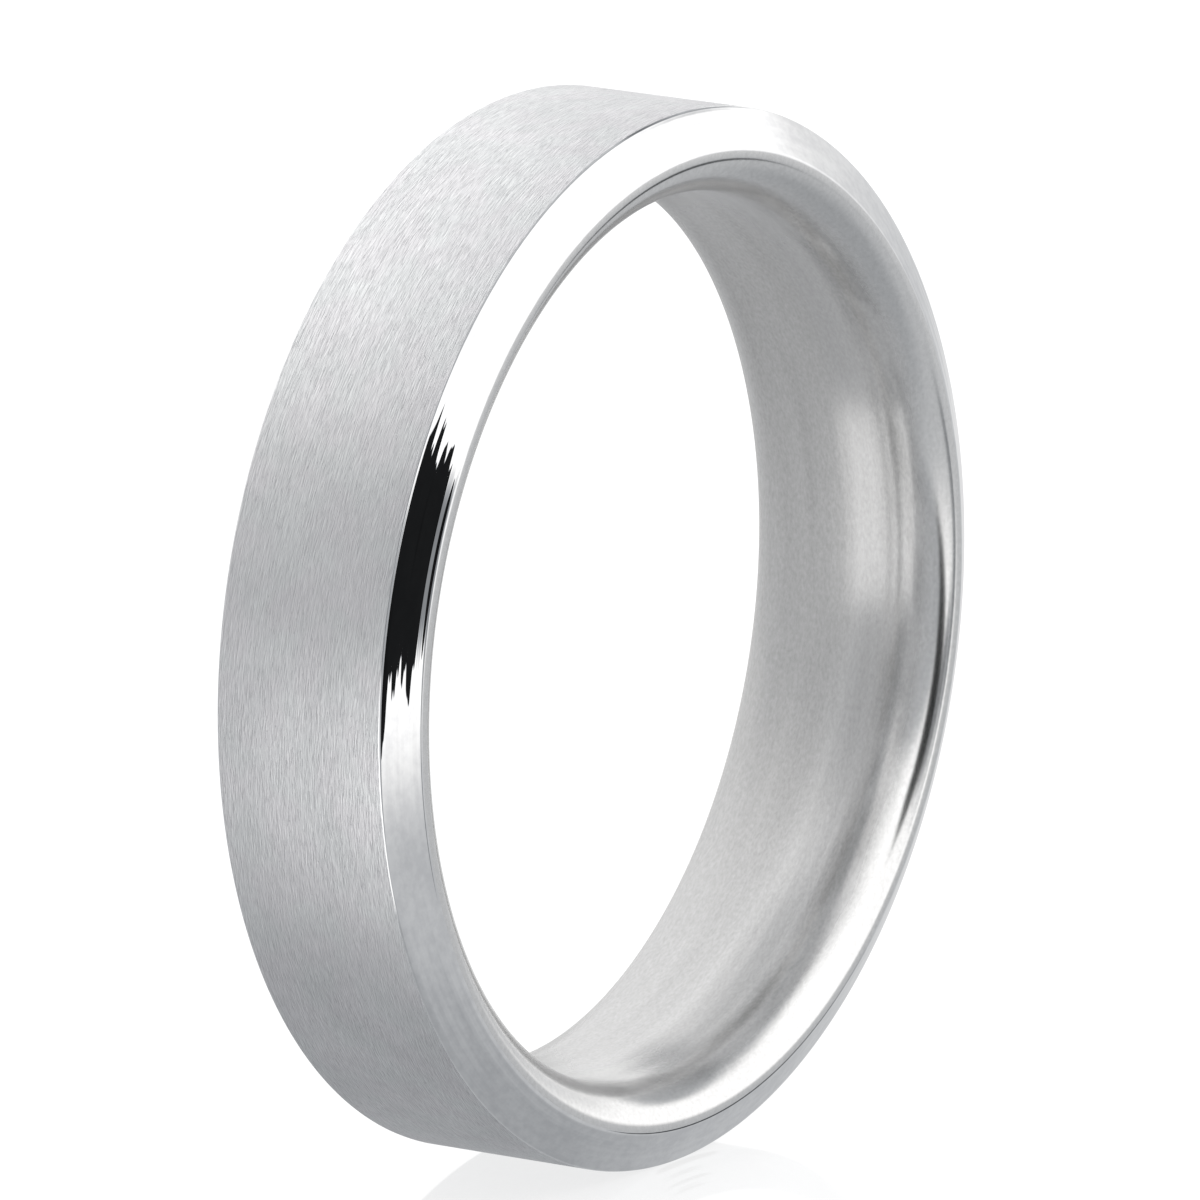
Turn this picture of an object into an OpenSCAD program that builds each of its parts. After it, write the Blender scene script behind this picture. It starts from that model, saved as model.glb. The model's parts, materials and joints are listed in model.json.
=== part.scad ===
/* [Finger size] */
// Inside diameter of the band, the size it is sold by
bore_d = 18.95; // [14:0.05:23]

/* [Band] */
// Width of the band along the finger
band_w = 5; // [4:0.1:8]
// Thickness of the metal between the bore and the outer face
wall = 1.85; // [1.5:0.05:2.15]

/* [Polished bevels] */
// How far each bevel runs in from the rim, along the finger
bevel_w = 0.48; // [0.2:0.02:0.8]
// How far each bevel drops from the outer face to the rim
bevel_drop = 0.86; // [0.5:0.02:1.2]
// Width of the flat rim between a bevel and the rounding into the bore
rim_w = 0.2; // [0.1:0.02:0.4]

/* [Comfort fit] */
// Radius of the rounding from each rim into the bore
round_r = 1.1; // [1:0.05:1.6]

/* [Hidden] */
$fn = 180;

bore_r = bore_d / 2;
outer_r = bore_r + wall;
half_w = band_w / 2;
half_flat = half_w - bevel_w;
rim_r = outer_r - bevel_drop;
// Each rounding leaves the bore on a tangent and ends on the rim's inner
// circle, so how far it runs along the finger follows from its radius.
round_rise = rim_r - rim_w - bore_r;
round_run = sqrt(round_rise * (2 * round_r - round_rise));
half_land = half_w - round_run;
// Cutting shapes reach this far past the metal that they take away.
past = 0.5;

// In each section below, x is the distance from the finger's axis
// and y runs along the finger, from the middle of the band.

// The blank before it is bored: a disc with both of its edges bevelled.
module blank_section() {
    polygon([
        [0, -half_w],
        [rim_r, -half_w],
        [outer_r, -half_flat],
        [outer_r, half_flat],
        [rim_r, half_w],
        [0, half_w]
    ]);
}

// The straight bore, right through the blank.
module bore_cut() {
    translate([-past, -half_w - past])
        square([past + bore_r, band_w + 2 * past]);
}

// One flared end of the bore, which leaves the metal beside it rounded.
module flare_cut() {
    difference() {
        translate([-past, half_land])
            square([past + bore_r + round_r, round_run + past]);
        translate([bore_r + round_r, half_land])
            circle(r = round_r);
    }
}

// One solid ring of metal, standing on its outer face with the finger along Y.
module band() {
    color("#c9c8ca")
        rotate([90, 0, 0])
            rotate_extrude()
                difference() {
                    blank_section();
                    bore_cut();
                    flare_cut();
                    mirror([0, 1])
                        flare_cut();
                }
}

band();
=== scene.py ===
import json
from math import cos, degrees, radians, sin

import bpy
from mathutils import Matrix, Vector


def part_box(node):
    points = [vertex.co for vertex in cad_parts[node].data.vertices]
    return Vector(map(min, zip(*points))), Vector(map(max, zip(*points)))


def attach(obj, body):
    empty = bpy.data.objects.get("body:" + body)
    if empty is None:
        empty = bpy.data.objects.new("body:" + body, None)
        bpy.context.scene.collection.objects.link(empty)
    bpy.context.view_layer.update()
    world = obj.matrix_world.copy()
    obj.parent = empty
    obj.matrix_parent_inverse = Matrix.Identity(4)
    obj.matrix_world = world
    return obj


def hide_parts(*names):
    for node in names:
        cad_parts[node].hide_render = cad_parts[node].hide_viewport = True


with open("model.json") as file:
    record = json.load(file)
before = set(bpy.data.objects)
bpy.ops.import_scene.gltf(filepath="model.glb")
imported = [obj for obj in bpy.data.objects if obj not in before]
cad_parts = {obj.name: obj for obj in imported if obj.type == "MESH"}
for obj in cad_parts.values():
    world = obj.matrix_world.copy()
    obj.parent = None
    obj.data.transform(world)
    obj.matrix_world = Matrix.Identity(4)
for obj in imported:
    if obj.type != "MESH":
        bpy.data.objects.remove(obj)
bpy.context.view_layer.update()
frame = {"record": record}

# ---------------------------------------------------------------- The turned ring
# A wedding band cut from one piece of white precious metal. It is turned on a
# lathe: a flat outer face, two steep bevels, two narrow rims and a bore whose
# ends are rounded for comfort. Every corner has its sharpness just taken off.
MM = 0.001
bore = frame["record"]["mounts"][0]["dims"]
lowest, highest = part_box("band")
outer_r = max(highest.z, highest.x)
half_w = highest.y
bore_r = bore["r_mm"] * MM
half_land = bore["length_mm"] * MM / 2
bevel_w = 0.48 * MM
bevel_drop = 0.86 * MM
rim_r = outer_r - bevel_drop
bevel_length = Vector((bevel_drop, bevel_w)).length
bevel_steps = 6
bevel_dome = 0.006 * MM
rim_w = 0.2 * MM
round_r = 1.1 * MM
round_steps = 22
corner_break = 0.04 * MM
sharp_corner = radians(11)
sides = 720


def draw_in(radius, place):
    """Extrudes both selected ends and brings them to this radius and distance from the middle."""
    global at_radius, at_place
    bpy.ops.mesh.extrude_region()
    turned_in = radius / at_radius
    moved = place / at_place
    bpy.ops.transform.resize(value=(turned_in, moved, turned_in), center_override=(0, 0, 0))
    at_radius, at_place = radius, place


bpy.ops.object.select_all(action="DESELECT")
at_radius, at_place = outer_r, half_w - bevel_w
bpy.ops.mesh.primitive_cylinder_add(
    vertices=sides,
    radius=at_radius,
    depth=2 * at_place,
    end_fill_type="NOTHING",
    rotation=(radians(90), 0, 0),
)
ring = bpy.context.object
ring.name = "wedding_band"
bpy.ops.object.transform_apply(location=True, rotation=True, scale=True)
bpy.ops.object.mode_set(mode="EDIT")
bpy.ops.mesh.select_mode(type="EDGE")
bpy.ops.mesh.select_all(action="SELECT")
bpy.ops.mesh.region_to_loop()
# The buffing leaves each bevel a hair domed.
for step in range(1, bevel_steps + 1):
    along = step / bevel_steps
    rise = bevel_dome * 4 * along * (1 - along)
    draw_in(
        outer_r - bevel_drop * along + rise * bevel_w / bevel_length,
        half_w - bevel_w * (1 - along) + rise * bevel_drop / bevel_length,
    )
draw_in(rim_r - rim_w, half_w)
# The rounding runs from the rim to where it meets the straight bore on a tangent.
to_rim = Vector((bore_r + round_r - (rim_r - rim_w), half_w - half_land))
start_angle = Vector((1, 0)).angle(to_rim)
for step in range(1, round_steps + 1):
    angle = start_angle * (1 - step / round_steps)
    draw_in(bore_r + round_r * (1 - cos(angle)), half_land + round_r * sin(angle))
bpy.ops.mesh.bridge_edge_loops()
bpy.ops.mesh.select_all(action="SELECT")
bpy.ops.mesh.normals_make_consistent(inside=False)
# Every corner is broken, and the flats are then shaded as flats.
bpy.ops.mesh.select_all(action="DESELECT")
bpy.ops.mesh.edges_select_sharp(sharpness=sharp_corner)
bpy.ops.mesh.bevel(offset=corner_break, segments=4, profile=0.5, affect="EDGES")
bpy.ops.object.mode_set(mode="OBJECT")
bpy.ops.object.shade_smooth()
bpy.ops.object.modifier_add(type="WEIGHTED_NORMAL")
bpy.ops.object.modifier_apply(modifier=ring.modifiers[-1].name)


# ---------------------------------------------------------------- Brushed outer face
# The outer face is brushed round the band with an abrasive pad, which leaves
# short, fine, overlapping strokes and a soft satin sheen.
WHITE = (1.0, 1.0, 1.0)
# A Mix node takes its colours in sockets 6 and 7, and gives the mixed colour in this one.
MIXED = 2


class Flow:
    """A shader socket that can be used in Python sums."""

    def __init__(self, tree, socket=None):
        self.tree = tree
        self.socket = socket

    def node(self, kind, output, settings=None, **inputs):
        """An output of a new node of this kind, which is set up and then fed with values or other flows."""
        made = self.tree.nodes.new(kind)
        for name, value in (settings or {}).items():
            setattr(made, name, value)
        feed(made, **inputs)
        return Flow(self.tree, made.outputs[output])

    def sum(self, operation, *others):
        """This, and any others after it, through one Math node."""
        values = {f"n{place}": value for place, value in enumerate((self, *others))}
        return self.node("ShaderNodeMath", "Value", {"operation": operation}, **values)

    def swapped(self, operation, other):
        """The other first, then this, through one Math node."""
        return self.node("ShaderNodeMath", "Value", {"operation": operation}, n0=other, n1=self)

    def __add__(self, other):
        return self.sum("ADD", other)

    __radd__ = __add__

    def __sub__(self, other):
        return self.sum("SUBTRACT", other)

    def __rsub__(self, other):
        return self.swapped("SUBTRACT", other)

    def __mul__(self, other):
        return self.sum("MULTIPLY", other)

    __rmul__ = __mul__

    def __truediv__(self, other):
        return self.sum("DIVIDE", other)

    def __rtruediv__(self, other):
        return self.swapped("DIVIDE", other)

    def __pow__(self, other):
        return self.sum("POWER", other)

    def __rpow__(self, other):
        return self.swapped("POWER", other)

    def between(self, low, high, new_low=0.0, new_high=1.0):
        """Runs smoothly from one value to another as this goes from low to high."""
        return self.node(
            "ShaderNodeMapRange", "Result", {"interpolation_type": "SMOOTHSTEP"},
            n0=self, n1=low, n2=high, n3=new_low, n4=new_high,
        )

    def stretched(self, long, across, tilt=0.0, aside=0.0):
        """These places, for marks this many millimetres long round the band and this wide across it.

        The marks lean by tilt degrees, and are moved across by aside millimetres.
        """
        size = (long * MM, across * MM, long * MM)
        turn = (radians(tilt), 0, radians(tilt))
        return self.node(
            "ShaderNodeMapping", "Vector", {"vector_type": "TEXTURE"},
            Vector=self, Scale=size, Rotation=turn, Location=(0, aside * MM, 0),
        )

    def grain(self, detail, roughness, start=0.0):
        """Fine noise, from 0 to 1, at these places. Noises with different starts are unlike each other."""
        moved = self.node("ShaderNodeVectorMath", "Vector", {"operation": "ADD"}, n0=self, n1=(start,) * 3)
        return self.node(
            "ShaderNodeTexNoise", "Fac", {"noise_dimensions": "3D"},
            Vector=moved, Scale=1.0, Detail=detail, Roughness=roughness,
        )

    def tint(self, dark, light):
        """A colour that runs from dark to light as this goes from 0 to 1."""
        ends = {"n6": (*dark, 1), "n7": (*light, 1)}
        return self.node("ShaderNodeMix", MIXED, {"data_type": "RGBA"}, Factor=self, **ends)

    def relief(self, depth):
        """A surface that rises by this many millimetres as this goes from 0 to 1."""
        return self.node("ShaderNodeBump", "Normal", Height=self, Strength=1.0, Distance=depth * MM)


def feed(node, **inputs):
    """Sets a node's sockets, each by its name or as n and its number, to values or to other flows."""
    for name, value in inputs.items():
        socket = node.inputs[int(name[1:]) if name[1:].isdigit() else name.replace("_", " ")]
        if isinstance(value, Flow):
            value.tree.links.new(value.socket, socket)
        else:
            socket.default_value = value


def metal(name):
    """A new metal on the ring: its places, and its shader."""
    made = bpy.data.materials.new(name)
    made.use_nodes = True
    ring.data.materials.append(made)
    shader = made.node_tree.nodes["Principled BSDF"]
    shader.inputs["Metallic"].default_value = 1.0
    return Flow(made.node_tree).node("ShaderNodeTexCoord", "Object"), shader


places, shader = metal("brushed_metal")
# Strokes that lean to either side, shorter ones between them, and a few deep scratches.
left = places.stretched(0.34, 0.024, 5).grain(1.0, 0.5).between(0.36, 0.66)
right = places.stretched(0.4, 0.027, -6).grain(1.0, 0.5, 7.3).between(0.36, 0.66)
fine = places.stretched(0.16, 0.018, 1).grain(1.0, 0.5, 11.9).between(0.3, 0.7)
strokes = left * 0.33 + right * 0.33 + fine * 0.34
swell = places.stretched(0.5, 0.03, 3).grain(0.0, 0.5, 5.7)
deep = (swell - 0.66).sum("ABSOLUTE").between(0.0, 0.03, 1.0, 0.0)
# Each furrow gets a painted highlight on one bank and painted shade on the other, in its colour only.
lit_bank = places.stretched(0.34, 0.03, 4).grain(2.0, 0.6, 9.1)
shaded_bank = places.stretched(0.34, 0.03, 4, 0.012).grain(2.0, 0.6, 9.1)
painted_bank_shading = (lit_bank - shaded_bank) * 1.6
cloud = places.stretched(1.6, 1.1).grain(2.0, 0.5, 3.1)
# Grey tone from the strokes, clouds and scratches, with the painted light and shade of the furrow banks
# added in.
stroke_tone_and_painted_light = strokes * 0.42 + cloud * 0.3 - deep * 0.35 + painted_bank_shading + 0.14
# The metal's white wavers a hair between cool and warm.
patches = places.stretched(0.9, 0.9).grain(1.0, 0.5, 6.6).between(0.35, 0.65)
hue = patches.tint((0.99, 1.0, 1.0), (1.0, 0.99, 1.0))
multiply = {"data_type": "RGBA", "blend_type": "MULTIPLY"}
greys = stroke_tone_and_painted_light.tint((0.54, 0.54, 0.55), WHITE)
paint = hue.node("ShaderNodeMix", MIXED, multiply, Factor=1.0, n6=greys, n7=hue)
feed(
    shader,
    Base_Color=paint,
    Roughness=strokes * -0.1 + 0.47,
    Normal=(strokes - deep * 0.6).relief(0.003),
)

# ---------------------------------------------------------------- Polished bevels
# Both bevels are cut last with a sharp tool and buffed to a mirror. The tool
# leaves faint rings, too shallow to feel, which draw reflections out into streaks.
places, shader = metal("polished_metal")
rings = places.stretched(40, 0.085).grain(0.0, 0.5)
fine_rings = places.stretched(25, 0.03).grain(0.0, 0.5, 5.2)
# Handling has dulled the polish a little, in clouds, scuffs and faint lines round the band.
clouds = places.stretched(1.6, 0.4).grain(3.0, 0.6, 1.7)
scuffs = places.stretched(0.25, 0.1).grain(2.0, 0.6, 8.3)
lines = places.stretched(5, 0.05).grain(1.0, 0.5, 3.3)
wear = clouds * 0.45 + scuffs * 0.4 + lines * 0.15
feed(
    shader,
    Base_Color=wear.between(0.35, 0.65).tint((0.86, 0.86, 0.87), WHITE),
    Roughness=wear.between(0.35, 0.75, 0.01, 0.02),
    Normal=(rings + fine_rings * 0.12).relief(0.009),
)

# ---------------------------------------------------------------- Satin bore
# The bore is rubbed down to an even satin with a fine grain. Towards each rim the rounding is buffed
# bright, and at the front a cloudy band of painted shade lies before it.
places, shader = metal("satin_metal")
behind_middle = places.node("ShaderNodeSeparateXYZ", "Y", Vector=places) * (1 / MM)
from_middle = behind_middle.sum("ABSOLUTE")
front_half = (0 - behind_middle).between(0.0, 0.6)
cloud = places.stretched(2.2, 0.6).grain(3.0, 0.55, 2.4)
# The buffing reaches further in at the front, with an uneven edge.
reach = (cloud - 0.5) * 0.35 - behind_middle.between(-0.5, 0.5) * 0.35
buffed = (from_middle + reach).between(1.95, 2.3)
rubbed = 1 - buffed
dust = places.stretched(0.12, 0.06).grain(2.0, 0.6, 4.6)
swells = places.stretched(9, 0.5).grain(1.0, 0.5, 8.8)
# A darker cloudy band before the front rounding: painted shade, broken up by the cloud noise.
painted_shade_band = cloud.between(0.38, 0.66) * (0 - behind_middle).between(0.9, 1.7) * rubbed
# The bore's colour: dust and long swells, brighter on the buffed rounding, lightened over the front half as
# painted light, and darkened in a band before the front rounding as painted shade.
shade = dust * 0.35 + swells * 0.2 + front_half * 0.14 + buffed * 0.42 - painted_shade_band * 0.2
bare = front_half * 0.2 + 0.5
# Light rolls over the bore as if it were very slightly crowned.
crown = from_middle.between(0.1, 2.4)
crown_rise = 0.24
unevenness = 0.02
# The bore's grey runs darker than the outer face's: partly its satin finish, partly painted shade inside
# the band.
feed(
    shader,
    Base_Color=shade.tint((0.31, 0.308, 0.305), (1.0, 0.995, 0.99)),
    Roughness=rubbed * 0.07 + 0.16,
    Metallic=bare + (1 - bare) * buffed,
    Normal=((dust * 0.08 + swells * 0.7) * rubbed - crown * (crown_rise / unevenness)).relief(unevenness),
)

# Each face takes its finish from the way it looks: straight out from the
# finger's axis, out and sideways, or sideways and in.
brushed, polished, satin = range(3)
straight_out, barely_out = 0.98, 0.03
for face in ring.data.polygons:
    outwards = Vector((face.center.x, 0, face.center.z)).normalized().dot(face.normal)
    turned_away = polished if outwards > barely_out else satin
    face.material_index = brushed if outwards > straight_out else turned_away

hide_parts("band")
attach(ring, "root")

# ---------------------------------------------------------------- Floor
# A plain white table with a faintly glossy top. It is lit from underneath, as
# for a catalogue, so that the band casts hardly any shadow.
bpy.ops.mesh.primitive_plane_add(size=3, location=(0, 0, lowest.z))
floor = bpy.context.object
floor.name = "floor"
table_top = bpy.data.materials.new("table_top")
table_top.use_nodes = True
feed(
    table_top.node_tree.nodes["Principled BSDF"],
    Base_Color=(0.2, 0.2, 0.2, 1),
    Roughness=0.06,
    IOR=1.2,
    Emission_Color=(*WHITE, 1),
    Emission_Strength=0.72,
)
floor.data.materials.append(table_top)
floor.visible_glossy = False

# ---------------------------------------------------------------- Studio
# A white tent all round, bright above and grey below, with grey cards hung in it.
# A narrow black gap stands in front of the band, for the black line in its bevel.
world = bpy.data.worlds.new("tent")
bpy.context.scene.world = world
world.use_nodes = True
way = Flow(world.node_tree).node("ShaderNodeTexCoord", "Generated")
east, north, up = (way.node("ShaderNodeSeparateXYZ", axis, Vector=way) for axis in "XYZ")
# Degrees up from level, and degrees round from straight in front of the band.
height = up.sum("ARCSINE") * degrees(1)
side = east.sum("ARCTAN2", 0 - north) * degrees(1)


def hang(light, middle, size, edge, share):
    """The tent's light with an oval card hung in it, which lets only this share of it through.

    The middle is degrees round and up, the size is degrees each way, and the
    edge says where the card begins and ends to fade, in shares of its size.
    """
    outwards = ((side - middle[0]) / size[0]) ** 2 + ((height - middle[1]) / size[1]) ** 2
    return light * outwards.between(*edge, share, 1.0)


in_front = (0 - north).between(-0.2, 0.4)
front_light = (up - east * 0.22).between(-0.45, -0.12, 0.52, 1.16) * up.between(-0.75, -0.5, 0.72, 1.0)
lamp = Vector((0.45, 0.3, 0.84))
facing_lamp = way.node("ShaderNodeVectorMath", "Value", {"operation": "DOT_PRODUCT"}, n0=way, n1=lamp)
back_light = facing_lamp.between(0.05, 1.0, 0.58, 1.42) * up.between(-0.85, -0.2, 0.76, 1.0)
tent = front_light * in_front + back_light * (1 - in_front)
# A band of thicker cloth runs overhead from side to side, and widens to the right.
from_band = ((north + 0.04) / east.between(-0.55, 0.0, 0.3, 0.46)) ** 2
thicker = (up - east * 0.4).between(0.15, 0.45) * from_band.between(0.5, 1.4, 1.0, 0.0)
tent = tent * (1 - thicker * 0.6)
# Grey cards to the left, for the rounding on the right, and to the right, for
# the rounding at the foot and for the top of the bevel.
tent = hang(tent, (-47, -1), (36, 30), (0.6, 1.3), 0.38)
tent = hang(tent, (92, 34), (32, 16), (0.6, 1.4), 0.36)
tent = hang(tent, (96, 2), (26, 14), (0.3, 1.4), 0.74)
# A low bright window on the left lights a streak down the bore.
window = (((north - 0.06) / 0.44) ** 2).sum("MAXIMUM", ((up + 0.37) / 0.38) ** 2)
window = window + east.between(-0.6, -0.4, 0.0, 2.0)
tent = tent + window.between(0.7, 1.15, 0.7, 0.0)
# The black gap leans to the right as it goes up, and is cut off aslant at both ends.
lean = side - height * 0.4
below_top = (14.7 - lean * 1.7).sum("MINIMUM", 20) - height
above_foot = height - (lean - 8.2)
gap = below_top.sum("MINIMUM", above_foot).sum("MINIMUM", lean + 14).sum("MINIMUM", 4.2 - lean)
tent = tent * gap.between(-0.3, 0.3, 1.0, 0.01)
# Narrow dark cards beside the gap draw the dark lines along the corners.
tent = hang(tent, (8.5, 0), (6, 9), (0.5, 1.5), 0.22)
tent = hang(tent, (17, -4), (9, 10), (0.6, 1.2), 0.62)
tent = hang(tent, (19, -13), (6, 12), (0.8, 1.1), 0.4)
tent = hang(tent, (65, -23), (9, 5), (0.8, 1.2), 0.15)
# The camera sees plain white, and the metal sees the tent, a little cooler where it is darker.
seen, shone = (way.node("ShaderNodeLightPath", f"Is {kind} Ray") for kind in ("Camera", "Diffuse"))
feed(
    world.node_tree.nodes["Background"],
    Color=tent.between(0.1, 0.95).tint((0.91, 0.95, 1.0), WHITE),
    Strength=tent * (1 - seen) + seen + shone * 0.7,
)

# ---------------------------------------------------------------- Camera
# A long lens stands a little above the band and well round to its left, and
# points at the bore, so that the band fills most of the frame.
azimuth = radians(-56.8)
elevation = radians(13.0)
distance = 0.46
towards = Vector((sin(azimuth) * cos(elevation), -cos(azimuth) * cos(elevation), sin(elevation)))
rightwards = Vector((cos(azimuth), sin(azimuth), 0))
upwards = towards.cross(rightwards)
aim = rightwards * 0.051 * MM + upwards * 0.588 * MM
bpy.ops.object.camera_add(
    location=aim + towards * distance,
    rotation=towards.to_track_quat("Z", "Y").to_euler(),
)
camera = bpy.context.object
camera.data.lens = 653
camera.data.sensor_width = 36
bpy.context.scene.camera = camera
bpy.context.scene.view_settings.view_transform = "Standard"
